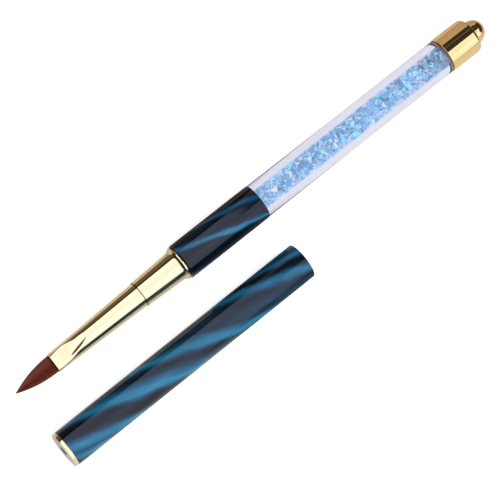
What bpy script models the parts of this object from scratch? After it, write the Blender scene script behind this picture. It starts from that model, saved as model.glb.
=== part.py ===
"""Acrylic nail brush: a hair head in a crimped ferrule, a crystal-filled clear handle and a round cap.

The brush lies along X with its hair tip towards -X. The cap lies beside it, mouth towards +X.
Sizes are in millimetres, and a place along the brush is its distance from the hair tip.
"""

import math

import bmesh
import bpy
from mathutils import Matrix, Vector

MM = 0.001
SIDES = 40
MERGE = 0.00001

# Driving dimensions
BRUSH_LENGTH = 175.0
HANDLE_RADIUS = 5.56
TUBE_RADIUS = 5.45
BORE_RADIUS = 3.35
BEAD_RADIUS = 5.28
AXIS_SPACING = 21.9
SLIP = 0.05

# Stations along the brush
FERRULE_MOUTH = 13.0
FLAT_END = 19.6
ROUND_START = 24.0
COLLAR_FRONT = 44.3
FERRULE_TAIL = 56.0
GRIP_FRONT = 59.5
CORE_REAR = 77.9
TUBE_FRONT = 78.2
GRIP_REAR = 88.0
TUBE_SHOULDER = 158.9
END_CAP_FRONT = 159.3
TUBE_REAR = 165.3
END_CAP_REAR = 170.1

# Hair and ferrule
HAIR_HALF_WIDTH = 2.66
HAIR_HALF_THICKNESS = 1.5
HAIR_TIP_RADIUS = 0.08
HAIR_ROOT = 21.3
BINDING_FRONT = 19.1
BINDING_REAR = 20.9
BINDING_DEPTH = 0.4
GLUE_FRONT = 21.5
GLUE_REAR = 29.4
FERRULE_WALL = 0.24
MOUTH_HALF_WIDTH = 2.96
MOUTH_HALF_THICKNESS = 1.8
MOUTH_SQUARENESS = 2.5
FERRULE_ROUND_RADIUS = 3.24
FERRULE_TAIL_RADIUS = 3.82
CRIMP_TURN = math.radians(12.0)

# Collar, core and the turned-down ends that the sleeves fit over
COLLAR_FRONT_RADIUS = 4.02
COLLAR_REAR_RADIUS = 4.5
COLLAR_BORE_RADIUS = 3.87
COLLAR_REAR_BORE_RADIUS = 4.0
BEAD_HALF_LENGTH = 0.95
CORE_NOSE_FRONT = 41.4
CORE_NECK_RADIUS = 3.95
SPIGOT_RADIUS = 4.65
SLEEVE_BORE_RADIUS = 4.7

# Finial
FINIAL_RADIUS = 3.5
SHANK_RADIUS = 1.45
SHANK_FRONT = 166.3

# Cap
CAP_CLOSED_END = -0.55
CAP_TUBE_START = 0.6
CAP_CUP_FLOOR = 1.25
CAP_PLUG_REAR = 4.65
CAP_MOUTH = 86.15
CAP_BORE_RADIUS = 5.33
CAP_DISC_RADIUS = 5.25
DISC_HOLE_RADIUS = 1.2
VENT_RADIUS = 0.9
CUP_RADIUS = 4.4
LINER_FRONT = 39.9
LINER_REAR = 83.95

AXIS_HEIGHT = HANDLE_RADIUS
MIDDLE = (BRUSH_LENGTH + CAP_CLOSED_END) / 2
BRUSH_Y = AXIS_SPACING / 2
CAP_Y = -AXIS_SPACING / 2


def clear_scene():
    for item in list(bpy.data.objects):
        bpy.data.objects.remove(item, do_unlink=True)


def make_collection(name):
    collection = bpy.data.collections.new(name)
    bpy.context.scene.collection.children.link(collection)
    return collection


def make_material(name, color, roughness, metallic=0.0, transmission=0.0):
    material = bpy.data.materials.new(name)
    material.use_nodes = True
    shader = material.node_tree.nodes["Principled BSDF"]
    shader.inputs["Base Color"].default_value = (*color, 1.0)
    shader.inputs["Roughness"].default_value = roughness
    shader.inputs["Metallic"].default_value = metallic
    shader.inputs["Transmission Weight"].default_value = transmission
    return material


def make_axis(name, collection, along, y):
    """An empty on a round body's axis, turned so that its local Z runs along the brush."""
    axis = bpy.data.objects.new(name, None)
    axis.empty_display_size = 10 * MM
    axis.location = ((along - MIDDLE) * MM, y * MM, AXIS_HEIGHT * MM)
    axis.rotation_euler = (0.0, math.pi / 2, 0.0)
    collection.objects.link(axis)
    return axis


def put_on_axis(name, mesh, axis, collection, material):
    """Parent a mesh, whose local Z counts from the hair tip, to its body's axis."""
    item = bpy.data.objects.new(name, mesh)
    item.data.materials.append(material)
    item.parent = axis
    item.location = (0.0, 0.0, -MIDDLE * MM - axis.location.x)
    collection.objects.link(item)
    return item


def arc(center_along, center_radius, size, start_deg, end_deg, steps):
    """Points of an arc in the profile plane; 0 degrees points to the rear, 90 degrees outwards."""
    points = []
    for step in range(steps + 1):
        angle = math.radians(start_deg + (end_deg - start_deg) * step / steps)
        points.append((center_along + size * math.cos(angle), center_radius + size * math.sin(angle)))
    return points


def turned(name, outer, inner, axis, collection, material):
    """Turn a piece from its outer and inner outlines, both listed from front to rear.

    A solid piece has no inner outline, and its outer one starts and ends on the axis.
    """
    outline = list(reversed(outer)) + list(inner)
    points = [Vector((radius * MM, 0.0, along * MM)) for along, radius in outline]
    edges = [(index, index + 1) for index in range(len(points) - 1)]
    if inner:
        edges.append((len(points) - 1, 0))
    mesh = bpy.data.meshes.new(name)
    mesh.from_pydata(points, edges, [])
    item = put_on_axis(name, mesh, axis, collection, material)
    screw = item.modifiers.new("turn", "SCREW")
    screw.axis = "Z"
    screw.steps = SIDES
    screw.render_steps = SIDES
    screw.use_merge_vertices = True
    screw.merge_threshold = MERGE
    screw.use_smooth_shade = True
    return item


def ring(along, half_width, half_thickness, squareness, turn):
    """A closed section across the brush: a superellipse, round at squareness 2, turned about the axis."""
    points = []
    for step in range(SIDES):
        angle = math.tau * step / SIDES
        across = math.cos(angle)
        through = math.sin(angle)
        width = half_width * math.copysign(abs(across) ** (2 / squareness), across)
        thickness = half_thickness * math.copysign(abs(through) ** (2 / squareness), through)
        point = Vector((thickness * MM, width * MM, along * MM))
        points.append(Matrix.Rotation(turn, 3, "Z") @ point)
    return points


def loft(name, rings, hollow, axis, collection, material):
    """Skin a row of sections. A hollow loft joins the last section to the first; a solid one is capped."""
    form = bmesh.new()
    rows = [[form.verts.new(point) for point in section] for section in rings]
    pairs = list(zip(rows, rows[1:]))
    if hollow:
        pairs.append((rows[-1], rows[0]))
    else:
        form.faces.new(rows[0])
        form.faces.new(list(reversed(rows[-1])))
    for first, second in pairs:
        for step in range(SIDES):
            following = (step + 1) % SIDES
            form.faces.new((first[step], second[step], second[following], first[following]))
    bmesh.ops.recalc_face_normals(form, faces=form.faces[:])
    mesh = bpy.data.meshes.new(name)
    form.to_mesh(mesh)
    form.free()
    mesh.shade_smooth()
    return put_on_axis(name, mesh, axis, collection, material)


def blend(first, second, part):
    """Ease from first to second as part goes from 0 to 1."""
    part = min(max(part, 0.0), 1.0)
    eased = part * part * (3.0 - 2.0 * part)
    return first + (second - first) * eased


def ferrule_section(along, inset):
    """The ferrule's section at a station: flat at the mouth, round past the crimp, straight in the collar."""
    crimp = (along - FLAT_END) / (ROUND_START - FLAT_END)
    taper = min(max((along - ROUND_START) / (COLLAR_FRONT - ROUND_START), 0.0), 1.0)
    radius = FERRULE_ROUND_RADIUS + (FERRULE_TAIL_RADIUS - FERRULE_ROUND_RADIUS) * taper
    half_width = blend(MOUTH_HALF_WIDTH, radius, (along - FERRULE_MOUTH) / (ROUND_START - FERRULE_MOUTH))
    half_thickness = blend(MOUTH_HALF_THICKNESS, radius, crimp)
    squareness = blend(MOUTH_SQUARENESS, 2.0, crimp)
    return ring(along, half_width - inset, half_thickness - inset, squareness, CRIMP_TURN)


def build_tuft(axis, collection, material):
    """The hair: a pointed oval leaf outside the ferrule, and a straight bound root inside it."""
    rings = []
    for part in (0.0, 0.04, 0.12, 0.25, 0.42, 0.62, 0.82, 1.0):
        width = max(HAIR_HALF_WIDTH * (1.0 - (1.0 - part) ** 2.3), HAIR_TIP_RADIUS)
        thickness = max(HAIR_HALF_THICKNESS * (1.0 - (1.0 - part) ** 1.8), HAIR_TIP_RADIUS)
        rings.append(ring(FERRULE_MOUTH * part, width, thickness, 2.1, CRIMP_TURN))
    waist_width = HAIR_HALF_WIDTH - BINDING_DEPTH
    waist_thickness = HAIR_HALF_THICKNESS - BINDING_DEPTH
    rings.append(ring(BINDING_FRONT - 0.6, HAIR_HALF_WIDTH, HAIR_HALF_THICKNESS, 2.3, CRIMP_TURN))
    rings.append(ring(BINDING_FRONT - 0.1, waist_width, waist_thickness, 2.2, CRIMP_TURN))
    rings.append(ring(HAIR_ROOT, waist_width, waist_thickness, 2.2, CRIMP_TURN))
    loft("bristle_tuft", rings, False, axis, collection, material)


def build_binding(axis, collection, material):
    """Thread wound in a band round the root of the hair, inside the ferrule."""
    edge = 0.3
    drop = 0.12
    band = [(BINDING_FRONT, drop), (BINDING_FRONT + edge, 0.0)]
    band += [(BINDING_REAR - edge, 0.0), (BINDING_REAR, drop)]
    outside = []
    inside = []
    for along, inset in band:
        width = HAIR_HALF_WIDTH - 0.02 - inset
        thickness = HAIR_HALF_THICKNESS - 0.02 - inset
        outside.append(ring(along, width, thickness, 2.2, CRIMP_TURN))
    for along in (BINDING_REAR, BINDING_FRONT):
        width = HAIR_HALF_WIDTH - BINDING_DEPTH + SLIP
        thickness = HAIR_HALF_THICKNESS - BINDING_DEPTH + SLIP
        inside.append(ring(along, width, thickness, 2.2, CRIMP_TURN))
    loft("tuft_binding", outside + inside, True, axis, collection, material)


def build_ferrule(axis, collection, material):
    """The crimped metal tube that holds the hair; its tail runs on inside the collar."""
    crimp_steps = [FLAT_END + (ROUND_START - FLAT_END) * step / 4 for step in range(1, 4)]
    stations = [FERRULE_MOUTH, FERRULE_MOUTH + 0.5, (FERRULE_MOUTH + FLAT_END) / 2, FLAT_END]
    stations += crimp_steps
    stations += [ROUND_START, (ROUND_START + COLLAR_FRONT) / 2, COLLAR_FRONT, FERRULE_TAIL]
    outside = [ferrule_section(along, 0.0) for along in stations]
    inside = [ferrule_section(along, FERRULE_WALL) for along in reversed(stations)]
    loft("ferrule", outside + inside, True, axis, collection, material)


def build_glue(axis, collection, material):
    """The set glue behind the hair, which follows the ferrule's bore from the crimp to the round part."""
    outline = [(GLUE_FRONT, 0.0), (GLUE_FRONT, 1.5), (GLUE_FRONT + 1.0, 2.0), (GLUE_FRONT + 2.8, 2.75)]
    outline += [(GLUE_REAR, 2.95), (GLUE_REAR, 0.0)]
    turned("glue_plug", outline, [], axis, collection, material)


def build_core(axis, collection, material):
    """The rod inside the handle: a nose for the ferrule, a neck for the collar and a body for the grip."""
    nose = FERRULE_TAIL_RADIUS - FERRULE_WALL - SLIP
    nose_rear = FERRULE_TAIL + 0.1
    neck_rear = GRIP_FRONT + 0.4
    outline = [(CORE_NOSE_FRONT, 0.0), (CORE_NOSE_FRONT, nose - 0.6), (CORE_NOSE_FRONT + 1.0, nose - 0.2)]
    outline += [(COLLAR_FRONT, nose), (nose_rear, nose), (nose_rear, CORE_NECK_RADIUS)]
    outline += [(neck_rear, CORE_NECK_RADIUS), (neck_rear, SPIGOT_RADIUS), (CORE_REAR, SPIGOT_RADIUS)]
    outline.append((CORE_REAR, 0.0))
    turned("handle_core", outline, [], axis, collection, material)


def build_collar(axis, collection, material):
    """The tapered sleeve behind the ferrule, flared at the rear into the bead that grips the cap."""
    rear = GRIP_FRONT - 0.08
    bead_middle = rear - 0.9
    step = FERRULE_TAIL + SLIP
    flare = [(COLLAR_FRONT, COLLAR_FRONT_RADIUS - 0.03), (COLLAR_FRONT + 0.1, COLLAR_FRONT_RADIUS)]
    bead = []
    for degrees in range(180, 19, -20):
        turn = math.radians(degrees)
        height = (BEAD_RADIUS - COLLAR_REAR_RADIUS) * math.sin(turn)
        bead.append((bead_middle + BEAD_HALF_LENGTH * math.cos(turn), COLLAR_REAR_RADIUS + height))
    rim = [(rear, COLLAR_REAR_RADIUS + 0.1)]
    bore = [(COLLAR_FRONT, COLLAR_BORE_RADIUS), (step, COLLAR_BORE_RADIUS)]
    bore += [(step, COLLAR_REAR_BORE_RADIUS), (rear, COLLAR_REAR_BORE_RADIUS)]
    turned("ferrule_collar", flare + bead + rim, bore, axis, collection, material)


def build_grip(axis, collection, material):
    """The marbled grip sleeve, with softened ends."""
    edge = 0.12
    outer = [(GRIP_FRONT, HANDLE_RADIUS - edge), (GRIP_FRONT + edge, HANDLE_RADIUS)]
    outer += [(GRIP_REAR - edge, HANDLE_RADIUS), (GRIP_REAR, HANDLE_RADIUS - edge)]
    inner = [(GRIP_FRONT, SLEEVE_BORE_RADIUS), (GRIP_REAR, SLEEVE_BORE_RADIUS)]
    turned("grip_sleeve", outer, inner, axis, collection, material)


def build_barrel(axis, collection, material):
    """The thick clear tube, turned down at both ends to fit inside the grip and the end cap."""
    front_shoulder = GRIP_REAR + SLIP
    outer = [(TUBE_FRONT, SPIGOT_RADIUS), (front_shoulder, SPIGOT_RADIUS), (front_shoulder, TUBE_RADIUS)]
    outer += [(TUBE_SHOULDER, TUBE_RADIUS), (TUBE_SHOULDER, SPIGOT_RADIUS), (TUBE_REAR, SPIGOT_RADIUS)]
    bore = [(TUBE_FRONT, BORE_RADIUS), (TUBE_REAR, BORE_RADIUS)]
    turned("barrel_tube", outer, bore, axis, collection, material)


def build_filling(axis, collection, crystal, stopper):
    """The column of crystals in the tube's bore, with a stopper in front of it and one behind."""
    radius = BORE_RADIUS - SLIP
    front = GRIP_REAR - 0.3
    rear = END_CAP_FRONT + 0.1
    gap = 0.2
    edge = 0.3
    plug = [(TUBE_FRONT, 0.0), (TUBE_FRONT, radius), (front - gap, radius), (front - gap, 0.0)]
    turned("barrel_front_plug", plug, [], axis, collection, stopper)
    plug = [(rear + gap, 0.0), (rear + gap, radius), (TUBE_REAR, radius), (TUBE_REAR, 0.0)]
    turned("barrel_rear_plug", plug, [], axis, collection, stopper)
    fill = [(front, 0.0), (front, radius - edge), (front + edge, radius)]
    fill += [(rear - edge, radius), (rear, radius - edge), (rear, 0.0)]
    turned("crystal_fill", fill, [], axis, collection, crystal)


def build_seal(axis, collection, material):
    """The thin ring between the tube's rear shoulder and the end cap."""
    front = TUBE_SHOULDER + SLIP
    rear = END_CAP_FRONT - SLIP
    outer = [(front, TUBE_RADIUS - SLIP), (rear, TUBE_RADIUS - SLIP)]
    inner = [(front, SLEEVE_BORE_RADIUS), (rear, SLEEVE_BORE_RADIUS)]
    turned("barrel_seal_ring", outer, inner, axis, collection, material)


def build_end_cap(axis, collection, material):
    """The gold cup over the tube's rear end, rounded at its rear corner and drilled for the finial."""
    corner_size = 0.8
    edge = 0.08
    end_thickness = 1.6
    floor = END_CAP_REAR - end_thickness
    hole = SHANK_RADIUS + SLIP
    corner = arc(END_CAP_REAR - corner_size, HANDLE_RADIUS - corner_size, corner_size, 90.0, 0.0, 5)
    outer = [(END_CAP_FRONT, HANDLE_RADIUS - edge), (END_CAP_FRONT + edge, HANDLE_RADIUS)] + corner
    inner = [(END_CAP_FRONT, SLEEVE_BORE_RADIUS), (floor, SLEEVE_BORE_RADIUS), (floor, hole)]
    inner.append((END_CAP_REAR, hole))
    turned("end_cap", outer, inner, axis, collection, material)


def build_finial(axis, collection, material):
    """The dome at the end of the brush, on a shank that passes through the end cap."""
    base = END_CAP_REAR + SLIP
    dome_middle = BRUSH_LENGTH - FINIAL_RADIUS
    outline = [(SHANK_FRONT, 0.0), (SHANK_FRONT, SHANK_RADIUS - 0.25), (SHANK_FRONT + 0.3, SHANK_RADIUS)]
    outline += [(base, SHANK_RADIUS), (base, FINIAL_RADIUS - 0.1), (base + 0.15, FINIAL_RADIUS)]
    outline += arc(dome_middle, 0.0, FINIAL_RADIUS, 90.0, 0.0, 8)
    outline[-1] = (BRUSH_LENGTH, 0.0)
    turned("end_finial", outline, [], axis, collection, material)


def build_cap_tube(axis, collection, material):
    """The cap's lacquered tube, open at both ends, with a small lead-in at its mouth."""
    lip = 0.1
    outer = [(CAP_TUBE_START, HANDLE_RADIUS), (CAP_MOUTH - lip, HANDLE_RADIUS)]
    outer.append((CAP_MOUTH, HANDLE_RADIUS - lip))
    inner = [(CAP_TUBE_START, CAP_BORE_RADIUS), (CAP_MOUTH - lip, CAP_BORE_RADIUS)]
    inner.append((CAP_MOUTH, CAP_BORE_RADIUS + lip / 2))
    turned("cap_tube", outer, inner, axis, collection, material)


def build_cap_end(axis, collection, gold, satin):
    """The plug that closes the cap, seen as a gold rim, and the satin disc let into its face."""
    spigot = CAP_BORE_RADIUS - SLIP
    flange_rear = CAP_TUBE_START - SLIP
    recess = CAP_CLOSED_END + 0.35
    face = CAP_CLOSED_END + SLIP
    outer = [(recess, VENT_RADIUS), (recess, CAP_DISC_RADIUS + SLIP), (face, CAP_DISC_RADIUS + SLIP)]
    outer += [(face, CAP_DISC_RADIUS + 0.12), (face + 0.25, HANDLE_RADIUS - 0.04)]
    outer += [(flange_rear, HANDLE_RADIUS), (flange_rear, spigot)]
    outer += [(CAP_PLUG_REAR - 0.4, spigot), (CAP_PLUG_REAR, spigot - 0.35)]
    inner = [(CAP_CUP_FLOOR, VENT_RADIUS), (CAP_CUP_FLOOR, CUP_RADIUS), (CAP_PLUG_REAR, CUP_RADIUS)]
    turned("cap_end_plug", outer, inner, axis, collection, gold)

    back = recess - SLIP
    edge = 0.08
    disc = [(CAP_CLOSED_END, CAP_DISC_RADIUS - edge), (CAP_CLOSED_END + edge, CAP_DISC_RADIUS)]
    disc.append((back, CAP_DISC_RADIUS))
    hole = [(CAP_CLOSED_END, DISC_HOLE_RADIUS), (back, DISC_HOLE_RADIUS)]
    turned("cap_end_disc", disc, hole, axis, collection, satin)


def build_liner(axis, collection, material):
    """The plastic sleeve inside the cap, a little back from its mouth, with a lead-in."""
    outer = [(LINER_FRONT, CAP_BORE_RADIUS - SLIP), (LINER_REAR, CAP_BORE_RADIUS - SLIP)]
    bore = [(LINER_FRONT, SLEEVE_BORE_RADIUS), (LINER_REAR - 0.2, SLEEVE_BORE_RADIUS)]
    bore.append((LINER_REAR, SLEEVE_BORE_RADIUS + 0.15))
    turned("cap_liner", outer, bore, axis, collection, material)


def main():
    clear_scene()
    parts = make_collection("acrylic_nail_brush")
    brush = make_axis("brush_axis", parts, GRIP_REAR, BRUSH_Y)
    cap = make_axis("cap_axis", parts, CAP_MOUTH, CAP_Y)

    hair = make_material("hair", (0.11, 0.025, 0.015), 0.55)
    thread = make_material("thread", (0.75, 0.7, 0.6), 0.8)
    glue = make_material("glue", (0.7, 0.5, 0.2), 0.3)
    pale_gold = make_material("pale_gold", (0.9, 0.78, 0.52), 0.12, metallic=1.0)
    rich_gold = make_material("rich_gold", (0.9, 0.66, 0.3), 0.14, metallic=1.0)
    cap_gold = make_material("cap_gold", (0.9, 0.74, 0.44), 0.12, metallic=1.0)
    dark_plastic = make_material("dark_plastic", (0.03, 0.03, 0.035), 0.5)
    stopper = make_material("stopper", (0.75, 0.77, 0.82), 0.4)
    lacquer = make_material("marbled_lacquer", (0.02, 0.09, 0.18), 0.2)
    clear = make_material("clear_acrylic", (0.9, 0.9, 0.97), 0.03, transmission=1.0)
    crystal = make_material("crystals", (0.3, 0.55, 0.85), 0.1)
    seal = make_material("seal", (0.06, 0.025, 0.015), 0.4)
    satin = make_material("satin_metal", (0.62, 0.61, 0.6), 0.35, metallic=1.0)
    liner = make_material("liner_plastic", (0.8, 0.8, 0.78), 0.45)

    build_tuft(brush, parts, hair)
    build_binding(brush, parts, thread)
    build_ferrule(brush, parts, pale_gold)
    build_glue(brush, parts, glue)
    build_core(brush, parts, dark_plastic)
    build_collar(brush, parts, pale_gold)
    build_grip(brush, parts, lacquer)
    build_barrel(brush, parts, clear)
    build_filling(brush, parts, crystal, stopper)
    build_seal(brush, parts, seal)
    build_end_cap(brush, parts, rich_gold)
    build_finial(brush, parts, rich_gold)

    build_cap_tube(cap, parts, lacquer)
    build_cap_end(cap, parts, cap_gold, satin)
    build_liner(cap, parts, liner)


main()
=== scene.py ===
"""The looks of the acrylic nail brush and its cap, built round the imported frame.

Pieces are turned or lofted about one of two axes, the brush's and the cap's, and their local X is the
frame's X. Lengths are metres; MM turns the small sizes into them.
"""

import math
import random

import bmesh
import bpy
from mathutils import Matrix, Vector, noise


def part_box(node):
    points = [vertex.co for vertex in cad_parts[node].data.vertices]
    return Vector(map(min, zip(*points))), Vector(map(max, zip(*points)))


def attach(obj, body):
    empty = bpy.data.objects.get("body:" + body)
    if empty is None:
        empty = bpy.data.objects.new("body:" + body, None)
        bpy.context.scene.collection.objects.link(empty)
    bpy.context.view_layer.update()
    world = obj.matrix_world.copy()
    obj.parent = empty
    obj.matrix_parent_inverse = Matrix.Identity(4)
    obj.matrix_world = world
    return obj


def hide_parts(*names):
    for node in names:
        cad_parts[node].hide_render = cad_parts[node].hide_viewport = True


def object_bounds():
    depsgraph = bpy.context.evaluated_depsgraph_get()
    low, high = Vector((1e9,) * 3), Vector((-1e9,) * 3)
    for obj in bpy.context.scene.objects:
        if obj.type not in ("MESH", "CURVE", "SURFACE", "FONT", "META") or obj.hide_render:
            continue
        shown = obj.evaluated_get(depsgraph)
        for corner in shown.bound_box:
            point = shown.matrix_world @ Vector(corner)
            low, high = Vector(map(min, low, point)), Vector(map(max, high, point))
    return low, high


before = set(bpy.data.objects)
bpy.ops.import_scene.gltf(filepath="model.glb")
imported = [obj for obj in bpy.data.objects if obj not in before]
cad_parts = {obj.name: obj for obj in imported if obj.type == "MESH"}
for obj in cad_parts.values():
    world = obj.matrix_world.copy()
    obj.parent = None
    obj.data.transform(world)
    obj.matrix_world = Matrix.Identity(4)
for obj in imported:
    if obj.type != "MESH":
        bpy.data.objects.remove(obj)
cad_low, cad_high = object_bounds()

MM = 0.001
SEGMENTS = 112

# How far three pieces pass their CAD solids: the longest hairs, the dark ring and the finial's girth
LONG_HAIRS = 0.45 * MM
SEAL_LIP = 0.25 * MM
FINIAL_SWELL = 1.08

# Stations and radii, read from the frame
hair_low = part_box("bristle_tuft")[0]
ferrule_low, ferrule_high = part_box("ferrule")
collar_low, collar_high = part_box("ferrule_collar")
grip_low, grip_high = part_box("grip_sleeve")
barrel_low, barrel_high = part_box("barrel_tube")
fill_low, fill_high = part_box("crystal_fill")
seal_low, seal_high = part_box("barrel_seal_ring")
end_low, end_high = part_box("end_cap")
finial_low, finial_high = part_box("end_finial")
cap_low, cap_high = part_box("cap_tube")
liner_low, liner_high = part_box("cap_liner")
plug_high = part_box("cap_end_plug")[1]
disc_low, disc_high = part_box("cap_end_disc")

BRUSH_AXIS = (end_low + end_high) / 2
CAP_AXIS = (cap_low + cap_high) / 2
HAIR_TIP = hair_low.x - LONG_HAIRS
FERRULE_MOUTH = ferrule_low.x
COLLAR_FRONT = collar_low.x
GRIP_FRONT = grip_low.x
GRIP_REAR = grip_high.x
SEAL_FRONT = seal_low.x - SEAL_LIP
END_CAP_FRONT = end_low.x
END_CAP_REAR = end_high.x
DOME_END = finial_high.x
CAP_CLOSED_END = disc_low.x
CAP_MOUTH = cap_high.x


def radius_of(low, high):
    return (high.z - low.z) / 2


GRIP_RADIUS = radius_of(grip_low, grip_high)
BARREL_RADIUS = radius_of(barrel_low, barrel_high)
END_CAP_RADIUS = radius_of(end_low, end_high)
FINIAL_RADIUS = FINIAL_SWELL * radius_of(finial_low, finial_high)
BEAD_RADIUS = radius_of(collar_low, collar_high)
CAP_RADIUS = radius_of(cap_low, cap_high)
LINER_RADIUS = radius_of(liner_low, liner_high)
DISC_RADIUS = radius_of(disc_low, disc_high)

# Sizes that the frame's boxes don't give

# The clear barrel, and the sleeves that take its spigots or the collar
BORE_RADIUS = 3.35 * MM
SPIGOT_RADIUS = 4.65 * MM
SLEEVE_BORE_RADIUS = 4.7 * MM

# The hair and the flattened end of the ferrule
HAIR_HALF_WIDTH = 2.66 * MM
HAIR_HALF_THICKNESS = 1.5 * MM
CRIMP_TURN = math.radians(12.0)
HEAD_LEAN = 0.008
CRIMP_START = FERRULE_MOUTH + 4.4 * MM
ROUND_START = FERRULE_MOUTH + 11.7 * MM
FERRULE_WALL = 0.24 * MM
MOUTH_HALF_WIDTH = 2.96 * MM
MOUTH_ROLL = math.radians(15.0)
PAD_HALF_THICKNESS = 1.98 * MM
PAD_EDGE_SOFTNESS = 0.5 * MM
FOLD_DEPTH = 0.74 * MM
FOLD_REACH = 1.8 * MM
FOLD_RETURN = 1.6 * MM

# The round part of the ferrule and the collar
ROUND_RADIUS = 3.24 * MM
TAIL_RADIUS = 3.82 * MM
COLLAR_FRONT_RADIUS = 4.02 * MM
COLLAR_REAR_RADIUS = 4.5 * MM
COLLAR_BORE_RADIUS = 3.87 * MM
COLLAR_REAR_BORE_RADIUS = 4.0 * MM
COLLAR_STEP = collar_high.x - 3.37 * MM

# The lacquer's streaks: where each crosses the side that faces up and forward, in mm past the piece's
# front end; its half width in radians; its strength. A place beyond either end is a streak of another side.
GRIP_STREAKS = [
    (-18.4, 0.14, 0.5),
    (12.2, 0.13, 1.0),
    (31.5, 0.14, 0.6),
    (20.0, 0.5, 0.12),
    (48.5, 0.2, 0.8),
    (67.5, 0.2, 0.9),
]
CAP_STREAKS = [
    (0.5, 0.3, 0.85),
    (23.4, 0.2, 0.9),
    (47.4, 0.24, 1.0),
    (79.0, 0.22, 0.9),
    (94.0, 0.18, 0.8),
    (30.0, 0.3, 0.45),
    (62.0, 0.5, 0.3),
]


# ---------------------------------------------------------------- meshes


def finish_mesh(form, name, axis, sharp_deg=30.0):
    """Turn a bmesh, built round the X axis, into an object on the given axis."""
    bmesh.ops.recalc_face_normals(form, faces=form.faces[:])
    mesh = bpy.data.meshes.new(name)
    form.to_mesh(mesh)
    form.free()
    mesh.shade_smooth()
    mesh.set_sharp_from_angle(angle=math.radians(sharp_deg))
    piece = bpy.data.objects.new(name, mesh)
    piece.location = (0.0, axis.y, axis.z)
    bpy.context.scene.collection.objects.link(piece)
    return piece


def rounded(corners, closed):
    """Outline points (x, radius) from corners (x, radius, rounding)."""
    steps = 5
    points = []
    count = len(corners)
    for index, (x, radius, rounding) in enumerate(corners):
        inner = closed or 0 < index < count - 1
        if rounding == 0.0 or not inner:
            points.append((x, radius))
            continue
        here = Vector((x, radius))
        to_before = (Vector(corners[index - 1][:2]) - here).normalized()
        to_after = (Vector(corners[(index + 1) % count][:2]) - here).normalized()
        half_angle = to_before.angle(to_after) / 2
        center = here + (to_before + to_after).normalized() * (rounding / math.sin(half_angle))
        reach = rounding / math.tan(half_angle)
        start = here + to_before * reach - center
        end = here + to_after * reach - center
        for step in range(steps + 1):
            spoke = start.lerp(end, step / steps).normalized() * rounding
            points.append(tuple(center + spoke))
    return points


def skin(form, rows, closed):
    """Join a row of rings, each a list of vertices, into a tube; closed joins the last ring to the first."""
    pairs = list(zip(rows, rows[1:]))
    if closed:
        pairs.append((rows[-1], rows[0]))
    for first, second in pairs:
        count = max(len(first), len(second))
        for step in range(count):
            after = (step + 1) % count
            corners = [first[step % len(first)], second[step % len(second)]]
            if len(second) > 1:
                corners.append(second[after])
            if len(first) > 1:
                corners.append(first[after])
            form.faces.new(corners)


def turn(name, corners, axis, closed=True, segments=SEGMENTS):
    """A piece turned about the axis from corners (x, radius, rounding); an open outline ends on the axis."""
    form = bmesh.new()
    rows = []
    for x, radius in rounded(corners, closed):
        if radius < 1e-7:
            rows.append([form.verts.new((x, 0.0, 0.0))])
            continue
        ring = []
        for step in range(segments):
            angle = math.tau * step / segments
            ring.append(form.verts.new((x, radius * math.cos(angle), radius * math.sin(angle))))
        rows.append(ring)
    skin(form, rows, closed)
    return finish_mesh(form, name, axis)


def paint_faces(mesh, colors):
    """Store one colour per face in the attribute 'tint'."""
    layer = mesh.color_attributes.new("tint", "FLOAT_COLOR", "CORNER")
    for face in mesh.polygons:
        for corner in face.loop_indices:
            layer.data[corner].color = (*colors[face.index], 1.0)


# ---------------------------------------------------------------- materials


def new_material(name, **values):
    """A material and its Principled shader, with plain values such as Metallic or Roughness set on it."""
    material = bpy.data.materials.new(name)
    material.use_nodes = True
    shader = material.node_tree.nodes["Principled BSDF"]
    for key, value in values.items():
        shader.inputs[key.replace("_", " ")].default_value = value
    return material, shader


def add(tree, kind, settings=None, **inputs):
    """A new node; inputs are plain values or sockets, by the input's name or by a, b and c for its place."""
    node = tree.nodes.new("ShaderNode" + kind)
    for key, value in (settings or {}).items():
        setattr(node, key, value)
    for key, value in inputs.items():
        socket = node.inputs["abc".index(key)] if key in "abc" else node.inputs[key.replace("_", " ")]
        if isinstance(value, bpy.types.NodeSocket):
            tree.links.new(value, socket)
        else:
            socket.default_value = value
    return node


def place(tree, scale):
    """Coordinates fixed to the piece, in units of 1 / scale along each axis."""
    source = add(tree, "TexCoord").outputs["Object"]
    return add(tree, "Mapping", Vector=source, Scale=scale).outputs["Vector"]


def noise_at(tree, vector, scale=1.0, detail=3.0, roughness=0.5, distortion=0.0):
    settings = {"Scale": scale, "Detail": detail, "Roughness": roughness, "Distortion": distortion}
    return add(tree, "TexNoise", Vector=vector, **settings).outputs["Fac"]


def ramp(tree, factor, stops):
    """A colour ramp with stops (position, colour)."""
    node = add(tree, "ValToRGB", Fac=factor)
    elements = node.color_ramp.elements
    while len(elements) < len(stops):
        elements.new(0.5)
    for element, (position, color) in zip(elements, stops):
        element.position = position
        element.color = (*color, 1.0)
    return node.outputs["Color"]


def level(tree, factor, low, high):
    """Map a 0 to 1 factor to the range low to high."""
    return add(tree, "MapRange", Value=factor, To_Min=low, To_Max=high).outputs["Result"]


def math_node(tree, operation, *values):
    """The result of a Math node on sockets or plain numbers."""
    return add(tree, "Math", {"operation": operation}, **dict(zip("abc", values))).outputs["Value"]


def along_axis(tree):
    """The place along the brush's or the cap's axis, in metres."""
    return add(tree, "SeparateXYZ", Vector=place(tree, (1.0, 1.0, 1.0))).outputs["X"]


def multiply(tree, first, second):
    """The product of two colours."""
    node = add(tree, "Mix", {"data_type": "RGBA", "blend_type": "MULTIPLY"})
    node.inputs["Factor"].default_value = 1.0
    tree.links.new(first, node.inputs[6])
    tree.links.new(second, node.inputs[7])
    return node.outputs[2]


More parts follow.
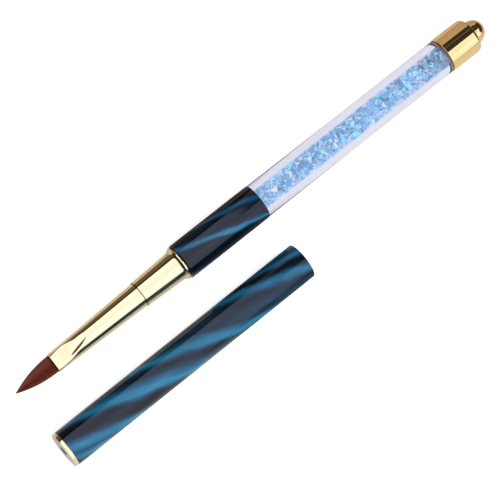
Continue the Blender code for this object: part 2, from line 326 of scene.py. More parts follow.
def bump(tree, height, strength, distance):
    return add(tree, "Bump", Height=height, Strength=strength, Distance=distance).outputs["Normal"]


def gold(name, color, shade, roughness, shaded_seam=None):
    """Polished plating: a slight drift in tone, a faint haze and barely visible polishing ripples.

    If a seam place is given, a fine line of painted shade darkens the plating there, where one piece slides
    into the other.
    """
    material, shader = new_material(name, Metallic=1.0)
    tree = material.node_tree
    drift = noise_at(tree, place(tree, (120.0, 300.0, 300.0)), detail=4.0)
    tone = ramp(tree, drift, [(0.3, shade), (0.7, color)])
    if shaded_seam is not None:
        # Painted shade: the plating darkens within 0.22 mm of the seam.
        away = math_node(tree, "ABSOLUTE", math_node(tree, "SUBTRACT", along_axis(tree), shaded_seam))
        unshaded = add(tree, "MapRange", Value=away, From_Min=0.06 * MM, From_Max=0.22 * MM).outputs["Result"]
        tone = multiply(tree, tone, ramp(tree, unshaded, [(0.0, (0.16, 0.13, 0.1)), (1.0, (1.0, 1.0, 1.0))]))
    haze = noise_at(tree, place(tree, (900.0, 900.0, 900.0)), detail=5.0)
    ripple = noise_at(tree, place(tree, (250.0, 700.0, 700.0)), detail=2.0)
    tree.links.new(tone, shader.inputs["Base Color"])
    tree.links.new(level(tree, haze, roughness * 0.7, roughness * 1.3), shader.inputs["Roughness"])
    tree.links.new(bump(tree, ripple, 0.05, 0.02 * MM), shader.inputs["Normal"])
    return material


def marbled_lacquer(name, start_x, streaks):
    """Near-black lacquer under a clear gloss, with soft blue streaks that wind slowly round the axis.

    Each streak is a lobe of brightness round an angle that turns with x. Noise that winds with it makes
    the streak wander, break up and fray.
    """
    material, shader = new_material(name, IOR=1.56, Specular_Tint=(0.74, 0.76, 1.0, 1.0))
    tree = material.node_tree
    twist_per_metre = 60.0
    facing_angle = 0.274
    wander_angle = 0.9
    source = add(tree, "TexCoord").outputs["Object"]
    parts = add(tree, "SeparateXYZ", Vector=source)
    away = math_node(tree, "MULTIPLY", parts.outputs["Y"], -1.0)
    angle = math_node(tree, "ARCTAN2", away, parts.outputs["Z"])
    unwind = math_node(tree, "MULTIPLY", parts.outputs["X"], -twist_per_metre)
    wound = add(tree, "VectorRotate", {"rotation_type": "X_AXIS"}, Vector=source, Angle=unwind)
    wound = wound.outputs["Vector"]

    def wound_noise(scale, detail, distortion=0.0):
        spot = add(tree, "Mapping", Vector=wound, Scale=scale, Location=(start_x, 0.37, 0.11))
        return noise_at(tree, spot.outputs["Vector"], detail=detail, distortion=distortion)

    wander = wound_noise((60.0, 120.0, 120.0), 2.0)
    breaks = wound_noise((45.0, 190.0, 190.0), 2.0, 0.3)
    fine = wound_noise((70.0, 800.0, 800.0), 2.0)
    turned = math_node(tree, "ADD", angle, unwind)
    turned = math_node(tree, "MULTIPLY_ADD", level(tree, wander, -0.5, 0.5), wander_angle, turned)
    total = level(tree, fine, -0.1, 0.1)
    for past, half_width, strength in streaks:
        middle = facing_angle - twist_per_metre * (start_x + past * MM)
        beside = math_node(tree, "COSINE", math_node(tree, "SUBTRACT", turned, middle))
        narrow = 1.39 / half_width ** 2
        lobe = math_node(tree, "EXPONENT", math_node(tree, "MULTIPLY_ADD", beside, narrow, -narrow))
        total = math_node(tree, "MULTIPLY_ADD", lobe, strength, total)
    mixed = math_node(tree, "MULTIPLY", total, level(tree, breaks, 0.35, 1.65))
    navy = (0.002, 0.0045, 0.0105)
    deep = (0.002, 0.024, 0.05)
    teal = (0.004, 0.088, 0.185)
    bright = (0.012, 0.18, 0.32)
    color = ramp(tree, mixed, [(0.08, navy), (0.28, deep), (0.6, teal), (1.0, bright)])
    haze = noise_at(tree, place(tree, (500.0, 500.0, 500.0)), detail=4.0)
    tree.links.new(color, shader.inputs["Base Color"])
    tree.links.new(level(tree, haze, 0.07, 0.14), shader.inputs["Roughness"])
    tree.links.new(bump(tree, haze, 0.04, 0.01 * MM), shader.inputs["Normal"])
    return material


def clear_acrylic():
    """Polished acrylic with a faint lavender tint and a trace of surface ripple."""
    material, shader = new_material("clear_acrylic", IOR=1.49, Transmission_Weight=1.0, Roughness=0.0)
    tree = material.node_tree
    drift = noise_at(tree, place(tree, (60.0, 200.0, 200.0)), detail=3.0)
    tint = ramp(tree, drift, [(0.3, (0.765, 0.785, 0.925)), (0.7, (0.79, 0.81, 0.935))])
    tree.links.new(tint, shader.inputs["Base Color"])
    return material


def crystal():
    """Pale blue cut glass with a rainbow film; each facet carries its own tint and glows in it, painted light
    that fills the shade between the crystals.
    """
    material, shader = new_material("crystal", IOR=1.6, Emission_Strength=0.26)
    tree = material.node_tree
    tint = add(tree, "Attribute", {"attribute_name": "tint"}).outputs["Color"]
    cloud = noise_at(tree, place(tree, (1500.0, 1500.0, 1500.0)), detail=2.0)
    shade = ramp(tree, cloud, [(0.3, (0.75, 0.8, 0.9)), (0.7, (1.0, 1.0, 1.0))])
    color = multiply(tree, tint, shade)
    tree.links.new(color, shader.inputs["Base Color"])
    # Painted light: the facets glow in their own tint.
    tree.links.new(color, shader.inputs["Emission Color"])
    tree.links.new(level(tree, cloud, 0.06, 0.2), shader.inputs["Roughness"])
    return material


def hair_material():
    """Red-brown hair: a tint for each strand, broken up along its length, with painted shade at the ferrule's
    mouth.
    """
    material, shader = new_material("hair", Specular_IOR_Level=0.22)
    tree = material.node_tree
    tint = add(tree, "Attribute", {"attribute_name": "tint"}).outputs["Color"]
    grain = noise_at(tree, place(tree, (300.0, 9000.0, 9000.0)), detail=3.0)
    shade = ramp(tree, grain, [(0.3, (0.65, 0.6, 0.6)), (0.7, (1.15, 1.1, 1.05))])
    # Painted shade: the hair darkens over the last 0.8 mm before the ferrule's mouth.
    shadow = 0.8 * MM
    root = add(
        tree, "MapRange", Value=along_axis(tree), From_Min=FERRULE_MOUTH - shadow, From_Max=FERRULE_MOUTH
    )
    mouth_shade = ramp(tree, root.outputs["Result"], [(0.1, (1.0, 1.0, 1.0)), (0.75, (0.15, 0.12, 0.12))])
    color = multiply(tree, multiply(tree, tint, shade), mouth_shade)
    tree.links.new(color, shader.inputs["Base Color"])
    tree.links.new(level(tree, grain, 0.45, 0.65), shader.inputs["Roughness"])
    return material


def satin_metal():
    """Grey satin metal, turned on a lathe, so its lines are circles round the axis; dark round its hole."""
    material, shader = new_material("satin_metal", Metallic=0.85)
    tree = material.node_tree
    source = add(tree, "TexCoord").outputs["Object"]
    parts = add(tree, "SeparateXYZ", Vector=source)
    across = add(tree, "CombineXYZ", X=0.0, Y=parts.outputs["Y"], Z=parts.outputs["Z"]).outputs["Vector"]
    reach = add(tree, "VectorMath", {"operation": "LENGTH"}, a=across).outputs["Value"]
    rings = add(tree, "CombineXYZ", X=reach).outputs["Vector"]
    lines = noise_at(tree, rings, scale=9000.0, detail=3.0, roughness=0.6)
    color = ramp(tree, lines, [(0.25, (0.5, 0.49, 0.48)), (0.75, (0.74, 0.73, 0.72))])
    # Darker round the hole: near black from 1.6 mm in to 1.45 mm from the axis.
    in_hole = add(tree, "MapRange", Value=reach, From_Min=1.6 * MM, From_Max=1.45 * MM).outputs["Result"]
    hole_rim_color = (0.02, 0.012, 0.008, 1.0)
    hole_rim_mix = add(tree, "Mix", {"data_type": "RGBA"})
    tree.links.new(in_hole, hole_rim_mix.inputs[0])
    tree.links.new(color, hole_rim_mix.inputs[6])
    hole_rim_mix.inputs[7].default_value = hole_rim_color
    tree.links.new(hole_rim_mix.outputs[2], shader.inputs["Base Color"])
    tree.links.new(level(tree, lines, 0.3, 0.5), shader.inputs["Roughness"])
    tree.links.new(bump(tree, lines, 0.25, 0.02 * MM), shader.inputs["Normal"])
    return material


def moulded(name, color, shade, roughness, grain=1500.0, glow=0.0):
    """A plain moulded or cast material with fine grain; glow stands for light that soaks through it."""
    material, shader = new_material(name, Emission_Color=(*color, 1.0), Emission_Strength=glow)
    tree = material.node_tree
    speck = noise_at(tree, place(tree, (grain, grain, grain)), detail=4.0)
    tree.links.new(ramp(tree, speck, [(0.3, shade), (0.7, color)]), shader.inputs["Base Color"])
    tree.links.new(level(tree, speck, roughness * 0.85, roughness * 1.15), shader.inputs["Roughness"])
    tree.links.new(bump(tree, speck, 0.15, 0.02 * MM), shader.inputs["Normal"])
    return material


def floor_material():
    """A lit white table, duller in what the gloss reflects of it and even in what shows through the acrylic.

    The dull version paints the shade that the reflections show of it: warmer behind the brush, dim beside the
    collar and darker past the end cap.
    """
    material, shader = new_material("studio_floor", Roughness=0.9, Specular_IOR_Level=0.1)
    tree = material.node_tree
    speck = noise_at(tree, place(tree, (300.0, 300.0, 300.0)), detail=3.0)
    color = ramp(tree, speck, [(0.3, (0.895, 0.895, 0.9)), (0.7, (0.905, 0.905, 0.91))])
    tree.links.new(color, shader.inputs["Base Color"])
    shader.inputs["Emission Color"].default_value = (1.0, 1.0, 1.0, 1.0)
    shader.inputs["Emission Strength"].default_value = 0.55
    source = add(tree, "TexCoord").outputs["Object"]
    spot = add(tree, "SeparateXYZ", Vector=source).outputs
    behind = add(tree, "MapRange", Value=spot["Y"], From_Min=-0.02, From_Max=0.03).outputs["Result"]
    dull_color = ramp(tree, behind, [(0.56, (0.8, 0.75, 0.68)), (0.85, (0.72, 0.58, 0.45))])
    # Painted shade in the reflections: dim beside the collar and darker past the end cap.
    along = add(tree, "MapRange", Value=spot["X"], From_Min=-0.05, From_Max=0.15).outputs["Result"]
    lit = (1.0, 1.0, 1.0)
    dim = (0.3, 0.3, 0.3)
    dark = (0.5, 0.5, 0.5)
    reflected_shade = ramp(tree, along, [(0.1, lit), (0.14, dim), (0.26, dim), (0.35, lit), (0.76, lit), (0.86, dark)])
    dull = add(tree, "BsdfDiffuse", Color=multiply(tree, dull_color, reflected_shade)).outputs["BSDF"]
    path = add(tree, "LightPath").outputs
    through = math_node(tree, "GREATER_THAN", path["Transmission Depth"], 0.5)
    even = add(tree, "Emission", Color=(1.0, 1.0, 1.0, 1.0), Strength=0.97).outputs["Emission"]
    outside = add(tree, "MixShader", a=path["Is Glossy Ray"], b=shader.outputs["BSDF"], c=dull)
    mixed = add(tree, "MixShader", a=through, b=outside.outputs["Shader"], c=even)
    tree.links.new(mixed.outputs["Shader"], tree.nodes["Material Output"].inputs["Surface"])
    return material


# ---------------------------------------------------------------- the hair head


def leaf_size(part):
    """Half width and half thickness of the hair at a part of its free length, 0 at the blunt tip."""
    blunt = 0.012
    rest = 1.0 - min(part + blunt, 1.0)
    return HAIR_HALF_WIDTH * (1.0 - rest ** 2.05), HAIR_HALF_THICKNESS * (1.0 - rest ** 1.8)


def turned_point(x, across, through):
    """A point beside the axis, in the flattened head's own directions; the head leans a little forward."""
    lean = HEAD_LEAN * max(COLLAR_FRONT - x, 0.0)
    y = across * math.cos(CRIMP_TURN) - through * math.sin(CRIMP_TURN) - lean
    z = across * math.sin(CRIMP_TURN) + through * math.cos(CRIMP_TURN)
    return Vector((x, y, z))


def build_hair_core():
    """The dense middle of the tuft, grooved like the hairs that lie over it."""
    form = bmesh.new()
    rows = []
    stations = 46
    sides = 120
    free = FERRULE_MOUTH - HAIR_TIP
    for station in range(stations + 1):
        part = 0.004 + 1.09 * (station / stations) ** 1.4
        width, thickness = leaf_size(part)
        ring = []
        for step in range(sides):
            angle = math.tau * step / sides
            groove = noise.noise(Vector((part * 1.5, 9.0 * math.cos(angle), 9.0 * math.sin(angle))))
            swell = 0.955 + 0.03 * groove
            across = width * swell * math.cos(angle)
            through = thickness * swell * math.sin(angle)
            ring.append(form.verts.new(turned_point(HAIR_TIP + free * part, across, through)))
        rows.append(ring)
    form.faces.new(rows[0])
    form.faces.new(list(reversed(rows[-1])))
    skin(form, rows, False)
    piece = finish_mesh(form, "hair_core", BRUSH_AXIS, sharp_deg=60.0)
    paint_faces(piece.data, [(0.13, 0.03, 0.017)] * len(piece.data.polygons))
    return piece


def build_hairs():
    """Single hairs laid over the core, each from inside the ferrule to its own end near the tip."""
    chance = random.Random(11)
    form = bmesh.new()
    colors = []
    strands = 620
    knots = 15
    root = 1.07
    free = FERRULE_MOUTH - HAIR_TIP
    for strand in range(strands):
        angle = math.tau * (strand + chance.uniform(-0.5, 0.5)) / strands
        depth = chance.uniform(0.945, 1.0)
        end = 0.3 * chance.random() ** 2.2
        size = chance.uniform(0.036, 0.05) * MM
        drift = chance.uniform(-0.05, 0.05)
        tone = chance.uniform(0.6, 1.45)
        warm = chance.uniform(0.85, 1.15)
        color = (0.175 * tone, 0.041 * tone * warm, 0.022 * tone)
        rows = []
        for knot in range(knots + 1):
            part = root + (end - root) * (knot / knots) ** 0.85
            width, thickness = leaf_size(part)
            bend = angle + drift * (1.0 - part)
            wave = 0.012 * math.sin(7.0 * part + strand)
            spot = turned_point(
                HAIR_TIP + free * part,
                width * (depth + wave) * math.cos(bend),
                thickness * (depth + wave) * math.sin(bend),
            )
            thin = size * (0.25 + 0.75 * min(1.0, (part - end) / 0.25 + 0.02))
            ring = []
            for corner in range(3):
                turn_angle = math.tau * corner / 3 + angle
                offset = Vector((0.0, thin * math.cos(turn_angle), thin * math.sin(turn_angle)))
                ring.append(form.verts.new(spot + offset))
            rows.append(ring)
        before = len(form.faces)
        form.faces.new(rows[0])
        form.faces.new(list(reversed(rows[-1])))
        skin(form, rows, False)
        colors += [color] * (len(form.faces) - before)
    piece = finish_mesh(form, "hair_strands", BRUSH_AXIS, sharp_deg=80.0)
    paint_faces(piece.data, colors)
    return piece


def soft_min(first, second, size):
    """The smaller of two lengths, rounded over where they meet."""
    part = max(size - abs(first - second), 0.0) / size
    return min(first, second) - part * part * size * 0.25


def fold_depth(x, across):
    """Depth of the fold that the crimp leaves: it runs from the pad's front side to the middle of the tube.

    One wall is steep and catches the dark; the other comes back up softly.
    """
    part = (x - CRIMP_START) / (ROUND_START - CRIMP_START + 0.1 * MM)
    if not 0.0 < part < 1.0:
        return 0.0
    size = FOLD_DEPTH * math.sin(math.pi * part) ** 0.8
    beside = across + FOLD_REACH * (1.0 - part) ** 1.3
    if beside > 0.0:
        return size * math.exp(-beside / FOLD_RETURN)
    steepness = 1.1 - 0.3 * part
    return max(size + steepness * beside, 0.0)


def ferrule_radius(x, angle, inset):
    """Distance from the axis to the ferrule's skin: a cone with a pad pressed into each side.

    Each pad is flat and rolled a little at the mouth; past the crimp it rises to the round tube.
    """
    rise = (ROUND_RADIUS - MOUTH_HALF_WIDTH) / (ROUND_START - FERRULE_MOUTH)
    if x < ROUND_START:
        cone = MOUTH_HALF_WIDTH + rise * (x - FERRULE_MOUTH)
    else:
        part = min((x - ROUND_START) / (COLLAR_FRONT - ROUND_START), 1.0)
        cone = ROUND_RADIUS + (TAIL_RADIUS - ROUND_RADIUS) * part
    roll = MOUTH_ROLL * max(1.0 - (x - FERRULE_MOUTH) / (CRIMP_START - FERRULE_MOUTH), 0.0)
    lift = max(abs(math.sin(angle - roll)), 1e-4)
    part = min(max(x - CRIMP_START, 0.0) / (ROUND_START - CRIMP_START), 1.0)
    pad = PAD_HALF_THICKNESS + (cone - PAD_HALF_THICKNESS) * part * (1.6 - 0.6 * part * part)
    softness = 0.02 * MM + PAD_EDGE_SOFTNESS * (1.0 - part) ** 1.5
    radius = soft_min(cone, pad / lift, softness)
    across = radius * math.cos(angle) * math.copysign(1.0, math.sin(angle))
    return radius - inset - fold_depth(x, across)


def build_ferrule():
    """The crimped tube: one skin outside and one inside, joined round the mouth and the tail."""
    form = bmesh.new()
    segments = 2 * SEGMENTS
    bevel = 0.1 * MM
    pitch = 0.14 * MM
    shaped = math.ceil((ROUND_START + 0.6 * MM - FERRULE_MOUTH) / pitch)
    stations = [FERRULE_MOUTH + bevel + pitch * step for step in range(shaped)]
    stations += [COLLAR_FRONT, ferrule_high.x]
    outside = [(FERRULE_MOUTH, bevel)] + [(x, 0.0) for x in stations]
    inside = [(x, FERRULE_WALL) for x in reversed(stations)] + [(FERRULE_MOUTH, FERRULE_WALL - 0.08 * MM)]
    rows = []
    for x, inset in outside + inside:
        ring = []
        for step in range(segments):
            angle = math.tau * step / segments
            radius = ferrule_radius(x, angle, inset)
            ring.append(form.verts.new(turned_point(x, radius * math.cos(angle), radius * math.sin(angle))))
        rows.append(ring)
    skin(form, rows, True)
    return finish_mesh(form, "ferrule_skin", BRUSH_AXIS, sharp_deg=50.0)


def build_collar():
    """The tapered sleeve with its flared bead, whose crest is one round arc."""
    front = COLLAR_FRONT
    rear = collar_high.x
    crest = 0.5 * MM
    crest_x = rear - crest
    crest_low = BEAD_RADIUS - crest
    slope = math.radians(40.0)
    corners = [(rear, COLLAR_REAR_BORE_RADIUS, 0.0)]
    for degrees in range(-80, 44, 6):
        angle = math.radians(degrees)
        corners.append((crest_x - crest * math.sin(angle), crest_low + crest * math.cos(angle), 0.0))
    flare = 0.94 * MM
    reach = (crest_low + crest * math.cos(slope) - COLLAR_REAR_RADIUS) / math.tan(slope)
    foot = crest_x - crest * math.sin(slope) - reach
    corners += [
        (foot, COLLAR_REAR_RADIUS, flare),
        (front, COLLAR_FRONT_RADIUS, 0.05 * MM),
        (front, COLLAR_BORE_RADIUS, 0.0),
        (COLLAR_STEP, COLLAR_BORE_RADIUS, 0.0),
        (COLLAR_STEP, COLLAR_REAR_BORE_RADIUS, 0.0),
    ]
    return turn("collar", corners, BRUSH_AXIS)


# ---------------------------------------------------------------- the handle


def build_grip():
    edge = 0.22 * MM
    corners = [
        (GRIP_REAR, SLEEVE_BORE_RADIUS, 0.05 * MM),
        (GRIP_REAR, GRIP_RADIUS, edge),
        (GRIP_FRONT, GRIP_RADIUS, edge),
        (GRIP_FRONT, SLEEVE_BORE_RADIUS, 0.05 * MM),
    ]
    return turn("grip", corners, BRUSH_AXIS)


def build_barrel():
    """The thick clear tube, with its turned-down ends and its bore."""
    front_shoulder = GRIP_REAR + 0.05 * MM
    rear_shoulder = SEAL_FRONT - 0.05 * MM
    corners = [
        (barrel_high.x, BORE_RADIUS, 0.1 * MM),
        (barrel_high.x, SPIGOT_RADIUS, 0.15 * MM),
        (rear_shoulder, SPIGOT_RADIUS, 0.05 * MM),
        (rear_shoulder, BARREL_RADIUS, 0.12 * MM),
        (front_shoulder, BARREL_RADIUS, 0.12 * MM),
        (front_shoulder, SPIGOT_RADIUS, 0.05 * MM),
        (barrel_low.x, SPIGOT_RADIUS, 0.15 * MM),
        (barrel_low.x, BORE_RADIUS, 0.1 * MM),
    ]
    return turn("barrel", corners, BRUSH_AXIS, segments=160)


def facet_color(chance, base):
    """One facet's tint: mostly its crystal's blue, now and then a cyan, white or yellow painted glint."""
    pick = chance.random()
    # Painted glints: a few facets get cyan, yellow, lavender and pale tints.
    if pick < 0.05:
        return (0.25, 0.95, 0.98)
    if pick < 0.06:
        return (0.95, 0.85, 0.5)
    if pick < 0.09:
        return (0.6, 0.62, 0.95)
    if pick < 0.19:
        return (0.7, 0.86, 0.95)
    lift = chance.uniform(0.72, 1.35)
    return tuple(min(channel * lift, 1.0) for channel in base)


def add_painted_glint(form):
    """The one large triangular crystal near the grip, its front facets painted pale cyan, gold and near white
    as a painted glint; returns its facets' tints.

    Its corners lie against the bore, on the side that faces up and forward.
    """
    top = BORE_RADIUS - 0.05 * MM
    corners = []
    for past, degrees in ((4.0, 13.0), (6.7, 9.0), (5.7, 37.0)):
        angle = math.radians(degrees)
        corners.append(form.verts.new((GRIP_REAR + past * MM, -top * math.sin(angle), top * math.cos(angle))))
    ridge = form.verts.new((GRIP_REAR + 5.1 * MM, -0.3 * top, 0.948 * top))
    root = form.verts.new((GRIP_REAR + 5.4 * MM, -0.2 * top, 0.5 * top))
    tints = []
    # Painted glint: pale cyan, gold and near-white front facets, darker blue behind.
    for index, tint in enumerate(((0.6, 0.98, 0.88), (0.99, 0.85, 0.55), (0.99, 0.98, 0.8))):
        after = (index + 1) % 3
        form.faces.new((corners[index], corners[after], ridge))
        form.faces.new((corners[after], corners[index], root))
        tints += [tint, (0.3, 0.5, 0.75)]
    return tints


def build_crystals():
    """Loose cut crystals that fill the bore: each is the hull of a few points on an uneven ball."""
    chance = random.Random(5)
    form = bmesh.new()
    colors = []
    shaded_rows = 5
    rows = 42
    pitch = (fill_high.x - fill_low.x) / rows
    room = BORE_RADIUS - 0.03 * MM
    blues = ((0.22, 0.43, 0.58), (0.32, 0.57, 0.69), (0.48, 0.74, 0.81), (0.28, 0.51, 0.65))
    for row in range(rows):
        start_angle = chance.uniform(0.0, math.tau)
        places = [(0.0, 0.0)]
        places += [(0.42 * room, start_angle + math.tau * k / 4) for k in range(4)]
        places += [(0.8 * room, start_angle + math.tau * k / 11) for k in range(11)]
        for out, angle in places:
            size = chance.uniform(0.85, 1.35) * MM
            out_now = out * chance.uniform(0.92, 1.08)
            center = Vector(
                (
                    fill_low.x + pitch * (row + 0.5 + chance.uniform(-0.4, 0.4)),
                    out_now * math.cos(angle),
                    out_now * math.sin(angle),
                )
            )
            points = []
            for _ in range(9):
                spoke = Vector([chance.gauss(0.0, 1.0) for _ in range(3)]).normalized()
                point = center + spoke * size * chance.uniform(0.8, 1.0)
                reach = math.hypot(point.y, point.z)
                if reach > room:
                    point.y *= room / reach
                    point.z *= room / reach
                point.x = min(max(point.x, fill_low.x), fill_high.x)
                points.append(form.verts.new(point))
            hull = bmesh.ops.convex_hull(form, input=points)
            loose = [item for item in hull["geom_interior"] if isinstance(item, bmesh.types.BMVert)]
            bmesh.ops.delete(form, geom=loose, context="VERTS")
            made = len(form.faces) - len(colors)
            blue = chance.choice(blues)
            if row >= rows - shaded_rows:
                blue = tuple(0.7 * channel for channel in blue)
            colors += [facet_color(chance, blue) for _ in range(made)]
    colors += add_painted_glint(form)
    piece = finish_mesh(form, "crystals", BRUSH_AXIS, sharp_deg=1.0)
    piece.data.shade_flat()
    paint_faces(piece.data, colors)
    return piece


def build_seal():
    radius = radius_of(seal_low, seal_high)
    corners = [
        (seal_high.x, SLEEVE_BORE_RADIUS, 0.03 * MM),
        (seal_high.x, radius, 0.08 * MM),
        (SEAL_FRONT, radius, 0.08 * MM),
        (SEAL_FRONT, SLEEVE_BORE_RADIUS, 0.03 * MM),
    ]
    return turn("seal_line", corners, BRUSH_AXIS)


def build_end_cap():
    """The gold cup over the barrel's end, with a bevelled shoulder and a hole for the finial's shank."""
    hole = 1.5 * MM
    inner_end = END_CAP_REAR - 1.6 * MM
    corners = [
        (END_CAP_REAR, hole, 0.0),
        (END_CAP_REAR, END_CAP_RADIUS - 0.35 * MM, 0.3 * MM),
        (END_CAP_REAR - 0.75 * MM, END_CAP_RADIUS, 0.45 * MM),
        (END_CAP_FRONT, END_CAP_RADIUS, 0.12 * MM),
        (END_CAP_FRONT, SLEEVE_BORE_RADIUS, 0.0),
        (inner_end, SLEEVE_BORE_RADIUS, 0.0),
        (inner_end, hole, 0.0),
    ]
    return turn("end_cap_shell", corners, BRUSH_AXIS)


def build_finial():
    """The dome on its low base ring, with the shank that holds it."""
    base = END_CAP_REAR + 0.05 * MM
    shank = 1.45 * MM
    dome_center = DOME_END - FINIAL_RADIUS
    dome_radius = FINIAL_RADIUS * 0.985
    corners = [(DOME_END, 0.0, 0.0)]
    for step in range(1, 19):
        angle = math.radians(5.0 * step)
        corners.append((dome_center + FINIAL_RADIUS * math.cos(angle), dome_radius * math.sin(angle), 0.0))
    corners += [
        (base + 0.75 * MM, dome_radius, 0.0),
        (base + 0.68 * MM, FINIAL_RADIUS, 0.03 * MM),
        (base, FINIAL_RADIUS, 0.12 * MM),
        (base, shank, 0.0),
        (finial_low.x, shank, 0.25 * MM),
        (finial_low.x, 0.0, 0.0),
    ]
    return turn("finial", corners, BRUSH_AXIS, closed=False)


# ---------------------------------------------------------------- the cap


def build_cap_tube():
    edge = 0.2 * MM
    bore = LINER_RADIUS + 0.05 * MM
    corners = [
        (CAP_MOUTH, bore, 0.12 * MM),
        (CAP_MOUTH, CAP_RADIUS, edge),
        (cap_low.x, CAP_RADIUS, 0.04 * MM),
        (cap_low.x, bore, 0.04 * MM),
    ]
    return turn("cap_shell", corners, CAP_AXIS)


def build_cap_plug():
    """The gold plug: a bevelled rim, a shallow seat for the disc, a vent and a cup inside the cap."""
    face = CAP_CLOSED_END + 0.05 * MM
    seat = CAP_CLOSED_END + 0.35 * MM
    inner = LINER_RADIUS
    cup = 4.4 * MM
    rear = plug_high.x
    vent = 0.9 * MM
    floor_x = CAP_CLOSED_END + 1.8 * MM
    corners = [
        (rear, cup, 0.0),
        (rear, inner - 0.35 * MM, 0.1 * MM),
        (rear - 0.4 * MM, inner, 0.1 * MM),
        (cap_low.x - 0.05 * MM, inner, 0.0),
        (cap_low.x - 0.05 * MM, CAP_RADIUS, 0.08 * MM),
        (face + 0.3 * MM, CAP_RADIUS - 0.03 * MM, 0.15 * MM),
        (face, DISC_RADIUS + 0.16 * MM, 0.08 * MM),
        (face, DISC_RADIUS + 0.06 * MM, 0.02 * MM),
        (seat, DISC_RADIUS + 0.06 * MM, 0.0),
        (seat, vent, 0.1 * MM),
        (floor_x, vent, 0.05 * MM),
        (floor_x, cup, 0.2 * MM),
    ]
    return turn("cap_rim", corners, CAP_AXIS)


def build_cap_disc():
    back = CAP_CLOSED_END + 0.3 * MM
    hole = 1.2 * MM
    corners = [
        (back, hole, 0.0),
        (back, DISC_RADIUS, 0.0),
        (CAP_CLOSED_END, DISC_RADIUS, 0.08 * MM),
        (CAP_CLOSED_END, hole, 0.08 * MM),
    ]
    return turn("cap_disc", corners, CAP_AXIS)


def build_cap_liner():
    corners = [
        (liner_high.x, SLEEVE_BORE_RADIUS, 0.15 * MM),
        (liner_high.x, LINER_RADIUS, 0.08 * MM),
        (liner_low.x, LINER_RADIUS, 0.08 * MM),
        (liner_low.x, SLEEVE_BORE_RADIUS, 0.08 * MM),
    ]
    return turn("cap_sleeve", corners, CAP_AXIS)


# ---------------------------------------------------------------- putting it together


def place_piece(piece, material, body, slot, *nodes):
    """Give a piece its material, the body that it moves with and the CAD nodes that it stands for."""
    piece.data.materials.clear()
    piece.data.materials.append(material)
    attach(piece, body)
    if nodes:
        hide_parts(*nodes)


def dress_node(name, material):
    """Give a CAD node that stays a better material."""
    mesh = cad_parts[name].data
    mesh.materials.clear()
    mesh.materials.append(material)


def build_object():
    hair = hair_material()
    # Painted light: the ferrule's and collar's gold is the rich gold painted paler, for the strong light on
    # them.
    lit_gold = gold("pale_gold", (0.97, 0.88, 0.63), (0.94, 0.85, 0.6), 0.05, shaded_seam=COLLAR_FRONT)
    rich = gold("rich_gold", (1.0, 0.82, 0.45), (0.96, 0.77, 0.41), 0.05)
    rim = gold("cap_gold", (1.0, 0.88, 0.6), (0.97, 0.84, 0.55), 0.1)
    plastic = moulded("core_plastic", (0.03, 0.03, 0.035), (0.02, 0.02, 0.024), 0.5)
    stopper = moulded("stopper", (0.2, 0.3, 0.48), (0.14, 0.22, 0.38), 0.35, glow=0.35)
    seal = moulded("seal", (0.2, 0.08, 0.045), (0.12, 0.045, 0.025), 0.4, glow=0.15)
    liner = moulded("liner_plastic", (0.8, 0.8, 0.78), (0.74, 0.74, 0.72), 0.45)
    thread = moulded("thread", (0.75, 0.7, 0.6), (0.55, 0.5, 0.42), 0.8, grain=6000.0)
    glue = moulded("glue", (0.7, 0.5, 0.2), (0.6, 0.4, 0.15), 0.25, grain=600.0)

    grip_lacquer = marbled_lacquer("grip_lacquer", GRIP_FRONT, GRIP_STREAKS)
    cap_lacquer = marbled_lacquer("cap_lacquer", CAP_CLOSED_END, CAP_STREAKS)

    place_piece(build_hair_core(), hair, "brush", "hair", "bristle_tuft")
    place_piece(build_hairs(), hair, "brush", "hair")
    place_piece(build_ferrule(), lit_gold, "brush", "pale_gold", "ferrule")
    place_piece(build_collar(), lit_gold, "brush", "pale_gold", "ferrule_collar")
    place_piece(build_grip(), grip_lacquer, "brush", "marbled_lacquer", "grip_sleeve")
    barrel = build_barrel()
    barrel.visible_shadow = False
    place_piece(barrel, clear_acrylic(), "brush", "clear_acrylic", "barrel_tube")
    place_piece(build_crystals(), crystal(), "brush", "crystals", "crystal_fill")
    place_piece(build_seal(), seal, "brush", "seal", "barrel_seal_ring")
    place_piece(build_end_cap(), rich, "brush", "rich_gold", "end_cap")
    place_piece(build_finial(), rich, "brush", "rich_gold", "end_finial")

    place_piece(build_cap_tube(), cap_lacquer, "cap", "marbled_lacquer", "cap_tube")
    place_piece(build_cap_plug(), rim, "cap", "cap_gold", "cap_end_plug")
    place_piece(build_cap_disc(), satin_metal(), "cap", "satin_metal", "cap_end_disc")
    place_piece(build_cap_liner(), liner, "cap", "liner_plastic", "cap_liner")

    dress_node("tuft_binding", thread)
    dress_node("glue_plug", glue)
    dress_node("handle_core", plastic)
    dress_node("barrel_front_plug", stopper)
    dress_node("barrel_rear_plug", stopper)


# ---------------------------------------------------------------- studio


def build_floor():
    size = 1.6
    bpy.ops.mesh.primitive_plane_add(size=size, location=(0.0, 0.0, cad_low.z))
    floor = bpy.context.object
    floor.name = "studio_floor"
    floor.data.materials.append(floor_material())


def panel(name, center, aim, width, height, radiance, color=(1.0, 1.0, 1.0), reflected=True):
    """A flat studio light; radiance is what a mirror shows of it."""
    light = bpy.data.lights.new(name, "AREA")
    light.shape = "RECTANGLE"
    light.size = width
    light.size_y = height
    light.energy = radiance * math.pi * width * height
    light.color = color
    lamp = bpy.data.objects.new(name, light)
    lamp.location = center
    lamp.rotation_euler = (Vector(aim) - Vector(center)).to_track_quat("-Z", "Y").to_euler()
    lamp.visible_camera = False
    lamp.visible_transmission = False
    lamp.visible_glossy = reflected
    bpy.context.scene.collection.objects.link(lamp)
    return lamp


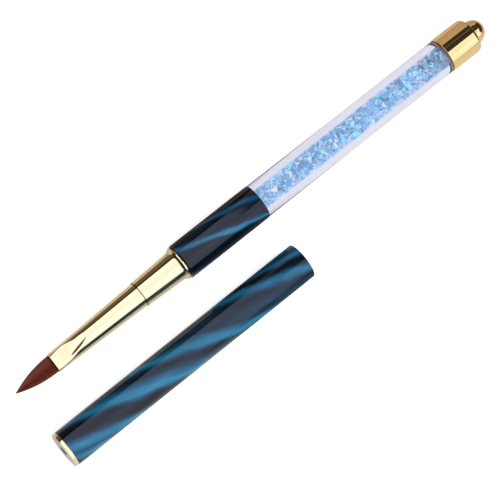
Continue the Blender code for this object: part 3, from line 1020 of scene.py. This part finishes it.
def shade_panel(lamp, stops):
    """Vary a panel's brightness along its height; stops are (part of the height, brightness up to 1)."""
    lamp.data.use_nodes = True
    tree = lamp.data.node_tree
    spot = add(tree, "NewGeometry").outputs["Parametric"]
    along = add(tree, "SeparateXYZ", Vector=spot).outputs["Y"]
    glow = ramp(tree, along, [(part, (value, value, value)) for part, value in stops])
    glow.node.color_ramp.interpolation = "B_SPLINE"
    tree.links.new(glow, tree.nodes["Emission"].inputs["Strength"])


def build_lights():
    """Panels overhead and in front, a dim rail and back walls for the dark bands, and an unreflected fill."""
    left = panel("overhead_left", (-0.38, -0.125, 0.62), (-0.38, -0.125, 0.0), 1.14, 1.35, 1.4)
    bands = [(0.0, 0.9), (0.12, 1.0), (0.32, 0.85), (0.52, 0.68), (0.74, 0.85), (0.9, 0.85), (1.0, 0.7)]
    shade_panel(left, bands)
    panel("overhead_front", (0.54, -0.505, 0.62), (0.54, -0.505, 0.0), 0.7, 0.6, 1.0)
    front = panel("front_wall", (0.0, -0.6, 0.2325), (0.0, 0.0, 0.2325), 1.5, 0.465, 1.25)
    shade_panel(front, [(0.0, 0.72), (0.4, 0.85), (1.0, 1.0)])
    panel("rail", (0.5, 0.14, 0.62), (0.5, 0.14, 0.0), 0.6, 0.05, 0.12, (1.0, 0.85, 0.7))
    panel("back_wall_left", (-0.325, 0.95, 0.3), (-0.325, 0.0, 0.3), 1.15, 0.58, 0.1, (1.0, 0.75, 0.4))
    right = panel("back_wall_right", (0.5, 0.45, 0.3), (0.5, 0.0, 0.3), 0.7, 0.6, 0.52, (1.0, 0.71, 0.53))
    shade_panel(right, [(0.0, 0.8), (1.0, 1.0)])
    panel("fill", (0.0, -0.75, 0.85), (0.0, 0.0, 0.0), 1.4, 1.0, 1.1, reflected=False)


def build_world():
    """A dim room for what the gloss reflects, and a pale backdrop for the camera and through the acrylic."""
    world = bpy.data.worlds.new("studio")
    bpy.context.scene.world = world
    world.use_nodes = True
    tree = world.node_tree
    tree.nodes.clear()
    room = add(tree, "Background", Color=(1.0, 0.72, 0.55, 1.0), Strength=0.04).outputs[0]
    backdrop = add(tree, "Background", Color=(1.0, 1.0, 1.0, 1.0), Strength=1.0).outputs[0]
    path = add(tree, "LightPath").outputs
    through = math_node(tree, "GREATER_THAN", path["Transmission Depth"], 0.5)
    through = math_node(tree, "SUBTRACT", through, path["Is Diffuse Ray"])
    seen = math_node(tree, "MAXIMUM", path["Is Camera Ray"], through)
    mixed = add(tree, "MixShader", a=seen, b=room, c=backdrop).outputs["Shader"]
    output = tree.nodes.new("ShaderNodeOutputWorld")
    tree.links.new(mixed, output.inputs["Surface"])


def build_camera():
    """The camera stands above the cap's side, a little towards the hair end."""
    azimuth = math.radians(-40.18)
    elevation = math.radians(69.8)
    distance = 653.1 * MM
    target = Vector((-10.285, 1.07, 5.56)) * MM
    back = Vector(
        (
            math.sin(azimuth) * math.cos(elevation),
            -math.cos(azimuth) * math.cos(elevation),
            math.sin(elevation),
        )
    )
    data = bpy.data.cameras.new("camera")
    data.sensor_width = 36.0
    data.lens = 165.0
    data.clip_start = 0.01
    data.clip_end = 10.0
    camera = bpy.data.objects.new("camera", data)
    camera.location = target + back * distance
    camera.rotation_euler = (-back).to_track_quat("-Z", "Y").to_euler()
    bpy.context.scene.collection.objects.link(camera)
    bpy.context.scene.camera = camera


build_camera()
build_object()
build_floor()
build_lights()
build_world()
bpy.context.scene.view_settings.view_transform = "Standard"
